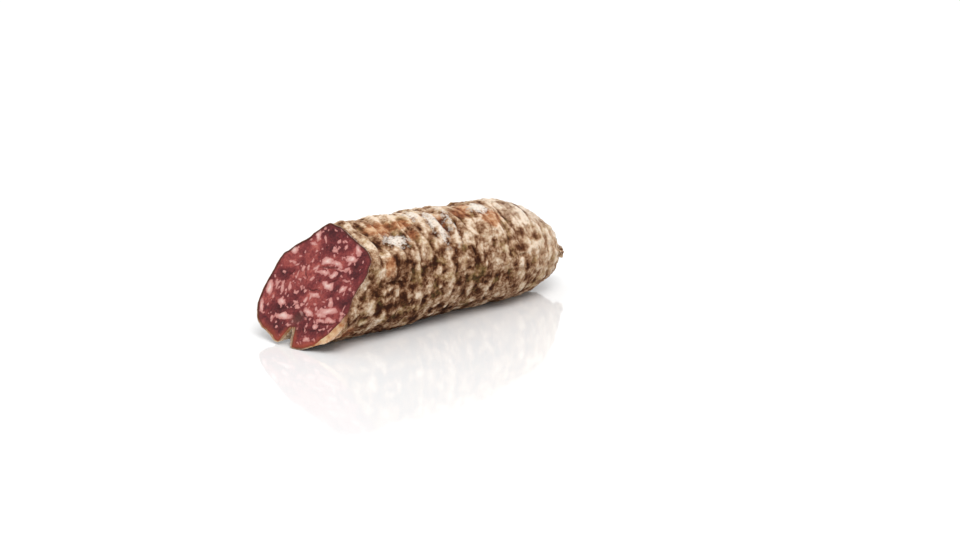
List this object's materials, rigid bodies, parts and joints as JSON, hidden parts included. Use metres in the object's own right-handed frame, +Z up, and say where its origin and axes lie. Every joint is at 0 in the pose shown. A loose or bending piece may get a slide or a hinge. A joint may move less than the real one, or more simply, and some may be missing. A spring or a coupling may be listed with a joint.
{
  "type": "cured sausage",
  "caption": "Dry-cured sausage in mould-covered natural casing, cut open at a slant at one end, closed by a dry twist at the other.",
  "frame": {"origin": "middle of the bounding box seen from above, on the plane that the sausage lies on", "axes": "+X along the sausage from the slanted cut to the twisted closed end, +Z up, away from the surface it lies on"},
  "size_m": [0.202, 0.0624, 0.0603],
  "materials": {
    "cured_meat": "dry-cured ground meat with pinkish-white fat, slightly moist and glossy where it is cut",
    "casing_skin": "dry natural gut with a matt grey-beige mould bloom, brown spots and bare orange-brown patches"
  },
  "bodies": {
    "root": {"meat_filling": "cured_meat", "casing": "casing_skin"}
  },
  "joints": []
}
